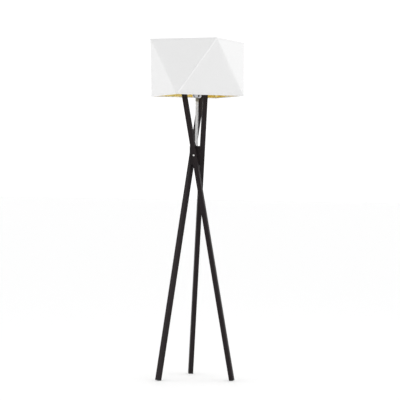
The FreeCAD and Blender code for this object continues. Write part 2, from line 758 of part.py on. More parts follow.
def make_bulb_top():
    """The white housing, the circuit board and the opal dome of the bulb."""
    foot = "dims.button_height + dims.glass_height + dims.bulb_cap_height"
    wall = "dims.bulb_wall"
    housing = [
        ("dims.bulb_cap - 1.7 - dims.bulb_wall", "-4"),
        ("dims.bulb_cap - 1.7", "-4"),
        ("dims.bulb_cap - 1.7", "0"),
        ("dims.bulb_cap + 0.8", "0"),
        ("dims.bulb_cap + 3.5", "dims.body_height * 0.35"),
        ("dims.bulb_radius - 5", "dims.body_height * 0.85"),
        ("dims.bulb_radius - 3.5", "dims.body_height"),
        ("dims.bulb_radius - 5", "dims.body_height"),
        ("dims.bulb_radius - 6.6", "dims.body_height * 0.85"),
        (f"dims.bulb_cap + 3.5 - {wall} * 1.6", "dims.body_height * 0.35"),
        ("dims.bulb_cap - 1.7 - dims.bulb_wall", "1.5"),
    ]
    level = f"dims.bulb_bottom + {foot}"
    keep(place(turned("bulb_housing", housing), z=level), "bulb_housing")
    board = bar("bulb_board", "dims.board_radius", "dims.board_thick")
    keep(place(board, z=f"{level} + dims.body_height * 0.85"), "bulb_board")
    height = f"(dims.bulb_length - ({foot}) - dims.body_height)"
    shares = [(0.887, 0), (0.97, 0.2), (1, 0.4), (0.955, 0.6), (0.84, 0.76), (0.64, 0.89), (0.36, 0.97)]
    outer = [(f"dims.bulb_radius * {x}", f"{height} * {y}") for x, y in shares]
    inner = [
        (f"(dims.bulb_radius - {wall}) * {x}", f"({height} - {wall}) * {y}") for x, y in shares
    ]
    corners = outer + [("0", height), ("0", f"{height} - {wall}")] + inner[::-1]
    keep(place(turned("bulb_dome", corners), z=f"{level} + dims.body_height"), "bulb_dome")


# ---------------------------------------------------------------- build, check and write


def check_document():
    """Stop if any object failed or any named piece has no valid solid."""
    for item in document.Objects:
        if "Invalid" in item.State or "Error" in item.State:
            raise RuntimeError(f"{item.Name} has state {item.State}")
    for item in nodes:
        if item.Shape.isNull() or not item.Shape.isValid() or not item.Shape.Solids:
            raise RuntimeError(f"{item.Label} has no valid solid")


def write_steps():
    """Write each named piece to its own file."""
    os.makedirs("parts", exist_ok=True)
    for item in nodes:
        item.Shape.exportStep(f"parts/{item.Label}.step")


def main():
    fill_sheet()
    for index in range(3):
        make_leg(index)
        make_pad(index)
        make_nail(index)
    make_hub()
    make_inserts()
    make_washers()
    make_bolts()
    make_hub_fittings()
    make_tube()
    make_holder_cap()
    make_holder_shell()
    make_holder_inside()
    make_ring_nuts()
    make_skins()
    make_frame()
    make_bulb_foot()
    make_bulb_top()
    document.recompute()
    check_document()
    write_steps()


main()
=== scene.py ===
"""The looks of the tripod floor lamp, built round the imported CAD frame. Metres, +Z up."""

import json
import math
import random

import bmesh
import bpy
import numpy as np
from mathutils import Matrix, Vector


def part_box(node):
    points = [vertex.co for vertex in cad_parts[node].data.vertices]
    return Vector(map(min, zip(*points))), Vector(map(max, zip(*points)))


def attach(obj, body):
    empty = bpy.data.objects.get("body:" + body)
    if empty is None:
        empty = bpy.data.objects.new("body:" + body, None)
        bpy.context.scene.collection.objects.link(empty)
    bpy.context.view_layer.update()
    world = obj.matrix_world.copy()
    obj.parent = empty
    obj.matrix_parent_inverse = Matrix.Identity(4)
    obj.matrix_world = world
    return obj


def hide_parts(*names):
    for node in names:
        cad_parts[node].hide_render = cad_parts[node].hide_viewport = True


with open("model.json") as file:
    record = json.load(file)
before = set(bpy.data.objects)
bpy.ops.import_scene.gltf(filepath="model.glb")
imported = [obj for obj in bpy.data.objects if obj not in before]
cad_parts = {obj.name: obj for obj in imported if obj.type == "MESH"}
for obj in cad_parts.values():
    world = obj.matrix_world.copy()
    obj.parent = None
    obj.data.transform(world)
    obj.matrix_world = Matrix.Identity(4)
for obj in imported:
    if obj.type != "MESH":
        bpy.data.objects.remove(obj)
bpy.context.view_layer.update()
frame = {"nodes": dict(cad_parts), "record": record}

MM = 0.001
NODES = frame["nodes"]
SCENE = bpy.context.scene
SLOTS = {entry["node"]: entry["material_slot"] for entry in frame["record"]["subparts"]}


# ---------------------------------------------------------------- node graphs


class Graph:
    """A material's node tree with short calls for adding and joining nodes."""

    def __init__(self, name):
        self.material = bpy.data.materials.new(name)
        self.material.use_nodes = True
        self.tree = self.material.node_tree
        self.shader = self.tree.nodes["Principled BSDF"]

    def add(self, kind, inputs=None, **settings):
        """Add a node; inputs maps a socket's name or number to a value or another socket."""
        node = self.tree.nodes.new(kind)
        for key, setting in settings.items():
            setattr(node, key, setting)
        for key, value in (inputs or {}).items():
            self.set(node, key, value)
        return node

    def set(self, node, key, value):
        """Give a socket a value, or join another socket to it."""
        if isinstance(value, bpy.types.NodeSocket):
            self.tree.links.new(value, node.inputs[key])
        else:
            node.inputs[key].default_value = value

    def math(self, operation, a, b=0.0):
        return self.add("ShaderNodeMath", {0: a, 1: b}, operation=operation).outputs[0]

    def coords(self, kind="Object", scale=(1, 1, 1)):
        """Texture coordinates, scaled."""
        source = self.add("ShaderNodeTexCoord").outputs[kind]
        return self.add("ShaderNodeMapping", {"Vector": source, "Scale": scale}).outputs[0]

    def noise(self, vector, scale, detail=4.0, rough=0.55, distortion=0.0):
        inputs = {
            "Vector": vector, "Scale": scale, "Detail": detail,
            "Roughness": rough, "Distortion": distortion,
        }
        return self.add("ShaderNodeTexNoise", inputs).outputs[0]

    def ramp(self, value, stops):
        """A colour ramp through (position, colour) stops; a number is a grey."""
        node = self.add("ShaderNodeValToRGB", {0: value})
        items = node.color_ramp.elements
        while len(items) < len(stops):
            items.new(0.5)
        for item, (position, colour) in zip(items, stops):
            item.position = position
            if isinstance(colour, (int, float)):
                colour = (colour, colour, colour)
            item.color = (*colour, 1.0)
        return node.outputs[0]

    def spread(self, value, low, high):
        """Map a value of 0 to 1 onto another range."""
        return self.add("ShaderNodeMapRange", {0: value, 3: low, 4: high}).outputs[0]

    def mix(self, factor, a, b, mode="MIX"):
        node = self.add("ShaderNodeMix", data_type="RGBA", blend_type=mode)
        for key, value in ((0, factor), (6, a), (7, b)):
            if isinstance(value, tuple):
                value = (*value, 1.0)
            self.set(node, key, value)
        return node.outputs[2]

    def bump(self, height, strength, distance, normal=None):
        inputs = {"Height": height, "Strength": strength, "Distance": distance}
        if normal is not None:
            inputs["Normal"] = normal
        return self.add("ShaderNodeBump", inputs).outputs[0]

    def finish(self, **sockets):
        """Set the shader's sockets by name, with underscores for spaces."""
        for key, value in sockets.items():
            if isinstance(value, tuple) and len(value) == 3 and key == "Base_Color":
                value = (*value, 1.0)
            self.set(self.shader, key.replace("_", " "), value)
        return self.material


def fabric_material(name, white):
    """Fine white plain weave with slubs, laid on the shade's flat net by its UV map."""
    g = Graph(name)
    uv = g.add("ShaderNodeTexCoord").outputs["UV"]
    threads = []
    for direction in ("X", "Y"):
        wave = g.add(
            "ShaderNodeTexWave",
            {"Vector": uv, "Scale": 640.0, "Distortion": 1.2, "Detail": 2.0, "Detail Scale": 0.6},
            wave_type="BANDS", bands_direction=direction, wave_profile="SIN",
        )
        threads.append(wave.outputs[1])
    weave = g.math("MULTIPLY", threads[0], threads[1])
    slubs = []
    for scale in ((900, 28, 1), (26, 820, 1)):
        mapping = g.add("ShaderNodeMapping", {"Vector": uv, "Scale": scale}).outputs[0]
        slubs.append(g.noise(mapping, 1.0, 3.0, 0.6))
    slub = g.math("MULTIPLY", g.math("ADD", slubs[0], slubs[1]), 0.5)
    cloud = g.noise(uv, 9.0, 3.0, 0.5)
    tone = g.math("ADD", g.math("MULTIPLY", slub, 0.7), g.math("MULTIPLY", cloud, 0.3))
    colour = g.ramp(tone, [(0.3, white - 0.02), (0.55, white), (0.75, white + 0.02)])
    shade = g.mix(g.spread(weave, 0.0, 0.5), (0.97, 0.97, 0.97), (1.0, 1.0, 1.0))
    colour = g.mix(1.0, colour, shade, "MULTIPLY")
    height = g.math("ADD", g.math("MULTIPLY", weave, 0.6), g.math("MULTIPLY", slub, 0.8))
    normal = g.bump(height, 0.35, 0.00012)
    return g.finish(
        Base_Color=colour, Roughness=g.spread(slub, 0.78, 0.95), Normal=normal,
        Sheen_Weight=0.12, Sheen_Roughness=0.5, Specular_IOR_Level=0.25,
    )


def gold_material():
    """Gold foil on paper: almost flat, with faint crinkles and rub marks."""
    g = Graph("gold_lining")
    uv = g.add("ShaderNodeTexCoord").outputs["UV"]
    crinkle = g.noise(uv, 38.0, 5.0, 0.6, 0.4)
    grain = g.noise(uv, 900.0, 2.0, 0.5)
    cloud = g.noise(uv, 6.0, 3.0, 0.5)
    colour = g.ramp(cloud, [
        (0.3, (0.89, 0.735, 0.275)), (0.55, (0.91, 0.775, 0.325)), (0.75, (0.93, 0.805, 0.385)),
    ])
    rough = g.math("ADD", g.spread(crinkle, 0.26, 0.36), g.spread(cloud, -0.03, 0.04))
    fine = g.bump(grain, 0.1, 0.00005)
    normal = g.bump(crinkle, 0.08, 0.0005, fine)
    return g.finish(Base_Color=colour, Metallic=0.95, Roughness=rough, Normal=normal)


def wood_material(name, dark, light, grain_scale):
    """Black-stained wood with long grain along the piece's own Z axis and a satin lacquer."""
    g = Graph(name)
    long = g.coords("Object", (grain_scale, grain_scale, grain_scale * 0.045))
    fine = g.coords("Object", (grain_scale * 4, grain_scale * 4, grain_scale * 0.12))
    rings = g.noise(long, 1.0, 6.0, 0.6, 0.7)
    pores = g.noise(fine, 1.0, 3.0, 0.6)
    blotch = g.noise(g.coords("Object", (9, 9, 3)), 1.0, 2.0, 0.5)
    tone = g.math("ADD", g.math("MULTIPLY", rings, 0.65), g.math("MULTIPLY", pores, 0.35))
    middle = tuple((a + b) / 2 for a, b in zip(dark, light))
    colour = g.ramp(tone, [(0.32, dark), (0.52, middle), (0.7, light)])
    wear = g.ramp(blotch, [(0.35, 0.82), (0.7, 1.0)])
    colour = g.mix(1.0, colour, wear, "MULTIPLY")
    rough = g.math("ADD", g.spread(pores, 0.48, 0.62), g.spread(blotch, -0.04, 0.05))
    pore_mask = g.ramp(pores, [(0.34, 0.0), (0.46, 1.0)])
    normal = g.bump(pore_mask, 0.35, 0.00012)
    normal = g.bump(rings, 0.25, 0.0002, normal)
    return g.finish(
        Base_Color=colour, Roughness=rough, Normal=normal, Specular_IOR_Level=0.15,
    )


def metal_material(name, dark, light, rough, grain=(1, 1, 1), scale=900.0):
    """Bare metal with brushed or rubbed grain in its roughness and bump."""
    g = Graph(name)
    brushed = g.noise(g.coords("Object", grain), scale, 4.0, 0.6)
    smudge = g.noise(g.coords("Object"), 60.0, 4.0, 0.6, 0.4)
    colour = g.mix(g.spread(brushed, 0.0, 1.0), dark, light)
    low, high = rough
    finish = g.math("ADD", g.spread(brushed, low, high), g.spread(smudge, -0.03, 0.05))
    return g.finish(
        Base_Color=colour, Metallic=1.0, Roughness=finish,
        Normal=g.bump(brushed, 0.15, 0.00006),
    )


def solid_material(name, dark, light, rough):
    """Plastic, rubber, ceramic or paint: a mottled colour and a fine surface texture."""
    g = Graph(name)
    fine = g.noise(g.coords("Object"), 1300.0, 3.0, 0.6)
    broad = g.noise(g.coords("Object"), 65.0, 3.0, 0.55)
    tone = g.math("ADD", g.math("MULTIPLY", fine, 0.4), g.math("MULTIPLY", broad, 0.6))
    colour = g.ramp(tone, [(0.35, dark), (0.65, light)])
    low, high = rough
    return g.finish(
        Base_Color=colour, Roughness=g.spread(tone, low, high), Normal=g.bump(fine, 0.2, 0.0001),
    )


def opal_material():
    """The opal plastic of the bulb's dome."""
    g = Graph("bulb_dome")
    cloud = g.noise(g.coords("Object"), 40.0, 3.0, 0.5)
    fine = g.noise(g.coords("Object"), 1500.0, 2.0, 0.5)
    colour = g.ramp(cloud, [(0.35, (0.9, 0.9, 0.88)), (0.7, (0.95, 0.95, 0.94))])
    return g.finish(
        Base_Color=colour, Roughness=g.spread(cloud, 0.3, 0.42), Normal=g.bump(fine, 0.1, 0.00005),
        Subsurface_Weight=0.2, Subsurface_Scale=0.004,
    )


LONG_GRAIN = {"grain": (1, 1, 0.03), "scale": 1400.0}
ROUND_GRAIN = {"grain": (0.05, 0.05, 1), "scale": 2500.0}

# Slot: darker colour, lighter colour, roughness from and to, and grain.
METALS = {
    "rod_steel": ((0.73, 0.725, 0.725), (0.85, 0.845, 0.845), (0.26, 0.38), LONG_GRAIN),
    # The collar is much darker than the other steel: its olive tint is its own, and the darkness is
    # partly painted shade under the holder cap.
    "collar_steel": ((0.26, 0.25, 0.21), (0.4, 0.385, 0.33), (0.28, 0.4), ROUND_GRAIN),
    "holder_chrome": ((0.42, 0.42, 0.43), (0.52, 0.52, 0.53), (0.07, 0.13), ROUND_GRAIN),
    "bolt_steel": ((0.74, 0.74, 0.74), (0.86, 0.86, 0.85), (0.22, 0.34), ROUND_GRAIN),
    "black_steel": ((0.03, 0.03, 0.03), (0.07, 0.07, 0.07), (0.35, 0.5), {}),
    "nipple_steel": ((0.6, 0.59, 0.54), (0.72, 0.71, 0.66), (0.3, 0.42), ROUND_GRAIN),
    "brass": ((0.66, 0.46, 0.18), (0.8, 0.6, 0.28), (0.25, 0.38), ROUND_GRAIN),
    "solder": ((0.55, 0.55, 0.56), (0.7, 0.7, 0.71), (0.35, 0.5), {}),
    "bulb_cap": ((0.7, 0.69, 0.66), (0.82, 0.81, 0.78), (0.2, 0.32), ROUND_GRAIN),
}
SOLIDS = {
    "pad_rubber": ((0.010, 0.010, 0.010), (0.03, 0.03, 0.03), (0.7, 0.9)),
    "fibre": ((0.12, 0.03, 0.02), (0.2, 0.05, 0.035), (0.6, 0.8)),
    "black_plastic": ((0.012, 0.012, 0.012), (0.03, 0.03, 0.03), (0.4, 0.55)),
    "holder_ceramic": ((0.74, 0.72, 0.68), (0.84, 0.83, 0.79), (0.5, 0.7)),
    "shade_nut": ((0.76, 0.76, 0.74), (0.84, 0.84, 0.82), (0.3, 0.42)),
    "shade_wire": ((0.78, 0.78, 0.77), (0.86, 0.86, 0.85), (0.35, 0.5)),
    "bulb_insulator": ((0.01, 0.01, 0.012), (0.03, 0.03, 0.033), (0.12, 0.2)),
    "bulb_housing": ((0.82, 0.82, 0.81), (0.88, 0.88, 0.87), (0.28, 0.38)),
    "bulb_board": ((0.8, 0.8, 0.8), (0.88, 0.88, 0.88), (0.35, 0.5)),
}
WOODS = {
    "leg_wood": ((0.0105, 0.0076, 0.0084), (0.029, 0.0215, 0.0235), 260.0),
    "hub_black": ((0.0095, 0.007, 0.0077), (0.026, 0.0195, 0.0212), 230.0),
}


def make_materials():
    """Every material by its slot in the record."""
    made = {
        "shade_fabric": fabric_material("shade_fabric", 0.86),
        # The seam lap's fabric is set lighter than the cover's: a painted highlight along the seam.
        "shade_lap_painted_highlight": fabric_material("shade_lap_painted_highlight", 0.93),
        "gold_lining": gold_material(),
        "bulb_dome": opal_material(),
    }
    for slot, values in WOODS.items():
        made[slot] = wood_material(slot, *values)
    for slot, (dark, light, rough, grain) in METALS.items():
        made[slot] = metal_material(slot, dark, light, rough, **grain)
    for slot, values in SOLIDS.items():
        made[slot] = solid_material(slot, *values)
    return made


# ---------------------------------------------------------------- meshes


def new_object(name, vertices, faces):
    """A mesh object from points and faces."""
    mesh = bpy.data.meshes.new(name)
    mesh.from_pydata([tuple(v) for v in vertices], [], [tuple(f) for f in faces])
    mesh.validate()
    mesh.update()
    item = bpy.data.objects.new(name, mesh)
    SCENE.collection.objects.link(item)
    return item


def smooth(item, angle=35.0):
    """Smooth shading with edges sharper than the angle kept."""
    limit = math.radians(angle)
    shape = bmesh.new()
    shape.from_mesh(item.data)
    for face in shape.faces:
        face.smooth = True
    for edge in shape.edges:
        edge.smooth = len(edge.link_faces) == 2 and edge.calc_face_angle(4.0) < limit
    shape.to_mesh(item.data)
    shape.free()
    return item


EDGE_ANGLE = 30.0  # degrees; a sharper edge than this is rounded


def bevel(item, width):
    modifier = item.modifiers.new("edges", "BEVEL")
    modifier.width = width
    modifier.segments = 3
    modifier.limit_method = "ANGLE"
    modifier.angle_limit = math.radians(EDGE_ANGLE)
    modifier.harden_normals = True
    return item


def dress(item, body, slot, *replaced):
    """Give a piece its material and the body it rides on, and hide the CAD nodes it stands for."""
    item.data.materials.clear()
    item.data.materials.append(MATERIALS[slot])
    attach(item, body)
    if replaced:
        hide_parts(*replaced)
    return item


def long_frame(node):
    """A matrix whose Z axis runs up the long way of a CAD node, at the node's middle."""
    points = np.array([v.co for v in NODES[node].data.vertices], float)
    middle = points.mean(0)
    axis = np.linalg.svd(points - middle, full_matrices=False)[2][0]
    axis = Vector(axis if axis[2] > 0 else -axis)
    return Matrix.Translation(Vector(middle)) @ axis.to_track_quat("Z", "Y").to_matrix().to_4x4()


def refined(node, body, slot, width, matrix=None):
    """A copy of a CAD node's mesh with rounded edges, in place of the node."""
    matrix = matrix or Matrix.Identity(4)
    mesh = NODES[node].data.copy()
    mesh.transform(matrix.inverted())
    item = bpy.data.objects.new(f"{node}_fine", mesh)
    SCENE.collection.objects.link(item)
    item.matrix_world = matrix
    shape = bmesh.new()
    shape.from_mesh(mesh)
    bmesh.ops.remove_doubles(shape, verts=shape.verts, dist=1e-5)
    bmesh.ops.dissolve_limit(
        shape, angle_limit=math.radians(1.0), verts=shape.verts, edges=shape.edges
    )
    shape.to_mesh(mesh)
    shape.free()
    smooth(item, EDGE_ANGLE)
    if width:
        bevel(item, width)
    return dress(item, body, slot, node)


def lathe(name, profile):
    """A closed mesh turned round the lamp's axis from (radius, height) points."""
    segments = 96
    vertices, faces, rows = [], [], []
    for radius, height in profile:
        if radius < 1e-6:
            rows.append([len(vertices)])
            vertices.append((0, 0, height))
            continue
        rows.append(list(range(len(vertices), len(vertices) + segments)))
        for step in range(segments):
            angle = 2 * math.pi * step / segments
            vertices.append((radius * math.cos(angle), radius * math.sin(angle), height))
    pairs = list(zip(rows, rows[1:]))
    if len(rows[0]) > 1 and len(rows[-1]) > 1:
        pairs.append((rows[-1], rows[0]))
    for low, high in pairs:
        for step in range(segments):
            after = (step + 1) % segments
            if len(low) > 1 and len(high) > 1:
                faces.append((low[step], low[after], high[after], high[step]))
            elif len(low) > 1:
                faces.append((low[step], low[after], high[0]))
            elif len(high) > 1:
                faces.append((low[0], high[after], high[step]))
    return new_object(name, vertices, faces)


def tube(name, level, height, inner, outer_at, rows, segments=192):
    """A tube round the lamp's axis whose outer radius depends on angle and height share."""
    vertices, faces = [], []
    for row in range(rows + 1):
        share = row / rows
        for step in range(segments):
            angle = 2 * math.pi * step / segments
            radius = outer_at(angle, share)
            x, y = radius * math.cos(angle), radius * math.sin(angle)
            vertices.append((x, y, level + share * height))
    for share in (1.0, 0.0):
        for step in range(segments):
            angle = 2 * math.pi * step / segments
            x, y = inner * math.cos(angle), inner * math.sin(angle)
            vertices.append((x, y, level + share * height))
    loops = rows + 3
    for row in range(loops):
        after_row = (row + 1) % loops
        for step in range(segments):
            after = (step + 1) % segments
            faces.append((
                row * segments + step, row * segments + after,
                after_row * segments + after, after_row * segments + step,
            ))
    return new_object(name, vertices, faces)


def thread_radius(root, crest, pitch, height, run_out):
    """The outer radius of a round-topped thread that fades out at both ends."""
    def radius(angle, share):
        z = share * height
        phase = (z / pitch - angle / (2 * math.pi)) % 1.0
        ridge = 0.5 - 0.5 * math.cos(2 * math.pi * phase)
        ends = min(1.0, z / run_out, (height - z) / run_out)
        return root + (crest - root) * ridge * max(0.0, ends)
    return radius


def knurl_radius(outer, depth, count, height, edge):
    """The outer radius of a ribbed nut with rounded rims."""
    def radius(angle, share):
        z = share * height
        near = min(z, height - z)
        rim = edge - math.sqrt(max(0.0, edge**2 - (edge - min(near, edge)) ** 2))
        rib = depth * (0.5 - 0.5 * math.cos(count * angle)) ** 2 if near > edge * 0.8 else depth
        return outer - rim - rib
    return radius


# ---------------------------------------------------------------- shade

FACET_ROWS = 26
ACROSS = (0, 0.0015, 0.004, 0.0075, 0.012, 0.02, 0.035, 0.06, 0.1, 0.16, 0.24, 0.33, 0.42, 0.5)
SOFT_CREASE = 0.5 * MM
CREASES = [each * MM for each in (0.1, 3.6, 0.8, 1.6, 2.2, 1.6, 0.8, 3.6)]
SEAM_SIDE = Vector((-0.63, 0.77, 0))


def shade_corners():
    """The outer corners of the shade in turn: bottom, top, bottom, top and so on."""
    points = [v.co.copy() for v in NODES["shade_cover"].data.vertices]
    low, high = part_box("shade_cover")
    corners = []
    for level in (low.z, high.z):
        rim = [p for p in points if abs(p.z - level) < 1e-5]
        reach = max(math.hypot(p.x, p.y) for p in rim)
        seen = {}
        for p in rim:
            if math.hypot(p.x, p.y) > reach - 1e-4:
                seen[round(math.degrees(math.atan2(p.y, p.x)))] = p
        corners += list(seen.values())
    return sorted(corners, key=lambda p: math.atan2(p.y, p.x))


def facet_planes(corners, inset):
    """Outward normal and distance of each facet, moved inwards by the inset."""
    planes = []
    for index in range(8):
        a, b, c = (corners[(index + k) % 8] for k in range(3))
        normal = (b - a).cross(c - a).normalized()
        if normal.dot(Vector((a.x, a.y, 0))) < 0:
            normal = -normal
        planes.append((normal, normal.dot(a) - inset))
    return planes


def crease_softness(point, corners, seam):
    """How softly the cloth turns near a point: by its nearest creases, and hard at the rims."""
    total = weights = 0.0
    for index in range(8):
        low, high = corners[index], corners[(index + 1) % 8]
        along = high - low
        share = min(1.0, max(0.0, (point - low).dot(along) / along.length_squared))
        weight = 1 / ((point - low - along * share).length_squared + 1e-5) ** 1.5
        total += weight * CREASES[(index - seam) % 8]
        weights += weight
    height = abs(corners[1].z - corners[0].z)
    share = (point.z - min(corners[0].z, corners[1].z)) / height
    middle = math.sin(math.pi * min(1.0, max(0.0, share))) ** 0.8
    return SOFT_CREASE + (total / weights) * middle


def soft_surface(point, normal, planes, softness):
    """Move a point onto the rounded surface of the shade, along its facet's normal."""
    for _ in range(3):
        total = sum(math.exp(min((n.dot(point) - d) / softness, 30)) for n, d in planes)
        point = point - normal * (softness * math.log(total))
    return point


def skin_mesh(name, corners, seam, inset, waviness, seed):
    """The shade's eight facets as one sheet with soft creases, and a UV map of its flat net."""
    planes = facet_planes(corners, inset)
    rng = random.Random(seed)
    waves = [(rng.uniform(6, 22), rng.uniform(6, 22), rng.uniform(0, 6.28)) for _ in range(6)]
    steps = list(ACROSS) + [1 - a for a in reversed(ACROSS[:-1])]
    rows = [0.5 - 0.5 * math.cos(math.pi * r / FACET_ROWS) for r in range(FACET_ROWS + 1)]
    rows[1:1] = [rows[1] * 0.12, rows[1] * 0.4]
    rows[-1:-1] = [1 - rows[1], 1 - rows[1] * 0.4]
    rows = sorted(set(rows))
    low, high = min(c.z for c in corners), max(c.z for c in corners)
    side = (corners[0] - corners[2]).length
    depth = (corners[1] - (corners[0] + corners[2]) / 2).length
    vertices, faces, flats = [], [], []
    for index in range(8):
        left, apex, right = corners[index], corners[(index + 1) % 8], corners[(index + 2) % 8]
        normal, _ = planes[index]
        pointing_up = apex.z > left.z
        grid = []
        for row in rows:
            line = []
            a, b = apex.lerp(left, row), apex.lerp(right, row)
            for step in steps:
                flat_point = a.lerp(b, step)
                u = index * side / 2 + side / 2 + (step - 0.5) * side * row
                v = depth * (1 - row) if pointing_up else depth * row
                rise = (flat_point.z - low) / (high - low)
                held = max(0.0, min(1.0, 9 * rise, 9 * (1 - rise)))
                edge = min(1.0, 12 * row * min(step, 1 - step))
                ripple = sum(math.sin(p * u * 3 + q * v * 3 + f) for p, q, f in waves) / 6
                softness = crease_softness(flat_point, corners, seam)
                point = soft_surface(flat_point, normal, planes, softness)
                point = point + normal * (waviness * edge * (ripple * held - 0.3))
                line.append(len(vertices))
                vertices.append(point)
                flats.append((u, v))
            grid.append(line)
        for upper, lower in zip(grid, grid[1:]):
            for step in range(len(steps) - 1):
                faces.append((upper[step], lower[step], lower[step + 1], upper[step + 1]))
    item = new_object(name, vertices, faces)
    layer = item.data.uv_layers.new(name="net")
    for loop in item.data.loops:
        layer.data[loop.index].uv = flats[loop.vertex_index]
    shape = bmesh.new()
    shape.from_mesh(item.data)
    bmesh.ops.remove_doubles(shape, verts=shape.verts, dist=2e-5)
    bmesh.ops.recalc_face_normals(shape, faces=shape.faces)
    middle = Vector((0, 0, (low + high) / 2))
    outward = sum(
        (f.calc_center_median() - middle).dot(f.normal) * f.calc_area() for f in shape.faces
    )
    if outward < 0:
        bmesh.ops.reverse_faces(shape, faces=shape.faces)
    shape.to_mesh(item.data)
    shape.free()
    return item


def skin_reach(direction, z, planes, inset):
    """How far from the axis the shade's surface is in a level direction at a height."""
    reaches = []
    for normal, distance in planes:
        facing = normal.x * direction.x + normal.y * direction.y
        if facing > 0.2:
            reaches.append((distance - inset - normal.z * z) / facing)
    nearest = min(reaches)
    total = sum(math.exp((nearest - reach) / SOFT_CREASE) for reach in reaches)
    return nearest - SOFT_CREASE * math.log(total)


HEM_PROFILE = (
    (0.1, 6.2), (-0.3, 6.0), (-0.42, 5.6), (-0.45, 4.0), (-0.45, 2.0), (-0.45, 0.5), (-0.3, 0.05),
    (0.2, -0.25), (1.0, -0.35), (2.4, -0.4), (3.8, -0.35), (4.7, -0.2), (5.25, 0.2), (5.4, 0.8),
    (5.4, 1.8), (5.4, 2.8),
)


def make_hem(name, planes, rim, inwards):
    """The cover's edge turned over a square wire; inwards is +1 below the shade, -1 above it."""
    angles = set(2 * math.pi * step / 240 for step in range(240))
    for corner in rim:
        middle = math.atan2(corner.y, corner.x) % (2 * math.pi)
        for away in (0, 0.3, 0.7, 1.2, 2.0, 3.0, 5.0):
            angles |= {(middle + side * math.radians(away)) % (2 * math.pi) for side in (-1, 1)}
    angles = sorted(angles)
    level = rim[0].z
    vertices, faces, flats = [], [], []
    for index, angle in enumerate(angles):
        direction = Vector((math.cos(angle), math.sin(angle), 0))
        for inset, depth in HEM_PROFILE:
            z = level + inwards * depth * MM
            reach = skin_reach(direction, level + inwards * max(depth, 0) * MM, planes, inset * MM)
            vertices.append((reach * direction.x, reach * direction.y, z))
            flats.append((0.2 * angle, 0.3 + depth * MM))
    rows, count = len(HEM_PROFILE), len(angles)
    for index in range(count):
        after = (index + 1) % count
        for row in range(rows - 1):
            here, there = index * rows + row, after * rows + row
            face = (here, there, there + 1, here + 1)
            faces.append(face if inwards > 0 else face[::-1])
    item = new_object(name, vertices, faces)
    layer = item.data.uv_layers.new(name="net")
    for loop in item.data.loops:
        layer.data[loop.index].uv = flats[loop.vertex_index]
    thick = item.modifiers.new("cloth", "SOLIDIFY")
    thick.thickness = 0.35 * MM
    thick.offset = -1
    smooth(item, 50)
    return dress(item, "shade", "shade_fabric")


SEAM_PROFILE = (
    (0.3, 0.0), (0.9, 0.4), (1.6, 0.62), (3.2, 0.7), (4.8, 0.62), (5.6, 0.4), (6.2, 0.0),
)


def make_seam(planes, corners, left, apex, right):
    """The glued lap where the cover's strip of cloth meets its own end, along one crease, in a
    lighter fabric that paints a highlight along that crease.
    """
    low, high, other = corners[left], corners[apex], corners[right]
    along = high - low
    across = (other - low) - along * ((other - low).dot(along) / along.length_squared)
    across.normalize()
    normal = next(n for n, d in planes if all(abs(n.dot(c) - d) < 1e-5 for c in (low, high, other)))
    vertices, faces, flats = [], [], []
    stations = 90
    for step in range(stations + 1):
        share = 0.012 + 0.976 * step / stations
        ends = min(1.0, 14 * min(share, 1 - share))
        for reach, rise in SEAM_PROFILE:
            point = low + along * share + across * (reach * MM)
            point = point + normal * ((rise - 0.35 * (1 - ends)) * MM)
            vertices.append(point)
            flats.append((0.31 + reach * MM, share * along.length))
    width = len(SEAM_PROFILE)
    for step in range(stations):
        for row in range(width - 1):
            a = step * width + row
            faces.append((a, a + 1, a + width + 1, a + width))
    item = new_object("shade_seam_lap", vertices, faces)
    layer = item.data.uv_layers.new(name="net")
    for loop in item.data.loops:
        layer.data[loop.index].uv = flats[loop.vertex_index]
    shape = bmesh.new()
    shape.from_mesh(item.data)
    if sum(f.normal.dot(normal) for f in shape.faces) < 0:
        bmesh.ops.reverse_faces(shape, faces=shape.faces)
    shape.to_mesh(item.data)
    shape.free()
    thick = item.modifiers.new("cloth", "SOLIDIFY")
    thick.thickness = 0.4 * MM
    thick.offset = -1
    smooth(item, 50)
    # The lighter fabric here is a painted highlight along the seam, not a different cloth.
    return dress(item, "shade", "shade_lap_painted_highlight")


def make_shade():
    """The white cover with its hems and seam, and the gold lining."""
    corners = shade_corners()
    middle = (corners[0].z + corners[1].z) / 2
    tops = [index for index, corner in enumerate(corners) if corner.z > middle]
    apex = min(tops, key=lambda index: corners[index].dot(SEAM_SIDE))
    cover = skin_mesh("shade_cover_cloth", corners, apex - 1, 0.0, 0.35 * MM, 3)
    thick = cover.modifiers.new("cloth", "SOLIDIFY")
    thick.thickness = 0.7 * MM
    thick.offset = -1
    smooth(cover, 60)
    dress(cover, "shade", "shade_fabric", "shade_cover")
    planes = facet_planes(corners, 0.0)
    low_rim = [c for c in corners if c.z < middle]
    high_rim = [c for c in corners if c.z > middle]
    hems = [
        make_hem("shade_hem_low", planes, low_rim, 1),
        make_hem("shade_hem_high", planes, high_rim, -1),
    ]
    seam = make_seam(planes, corners, apex - 1, apex, (apex + 1) % 8)
    lining = skin_mesh("shade_lining_foil", corners, apex - 1, 0.85 * MM, 0.25 * MM, 4)
    thick = lining.modifiers.new("foil", "SOLIDIFY")
    thick.thickness = 0.35 * MM
    thick.offset = -1
    smooth(lining, 60)
    dress(lining, "shade", "gold_lining", "shade_lining")


# ---------------------------------------------------------------- stand


def make_legs():
    for number in (1, 2, 3):
        body = f"leg_{number}"
        matrix = long_frame(body)
        refined(body, body, "leg_wood", 0.15 * MM, matrix)
        refined(f"foot_pad_{number}", body, "pad_rubber", 0.6 * MM, matrix)


def make_hub():
    low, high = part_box("hub")
    matrix = Matrix.Translation(Vector((0, 0, (low.z + high.z) / 2)))
    refined("hub", "stand", "hub_black", 0.7 * MM, matrix)


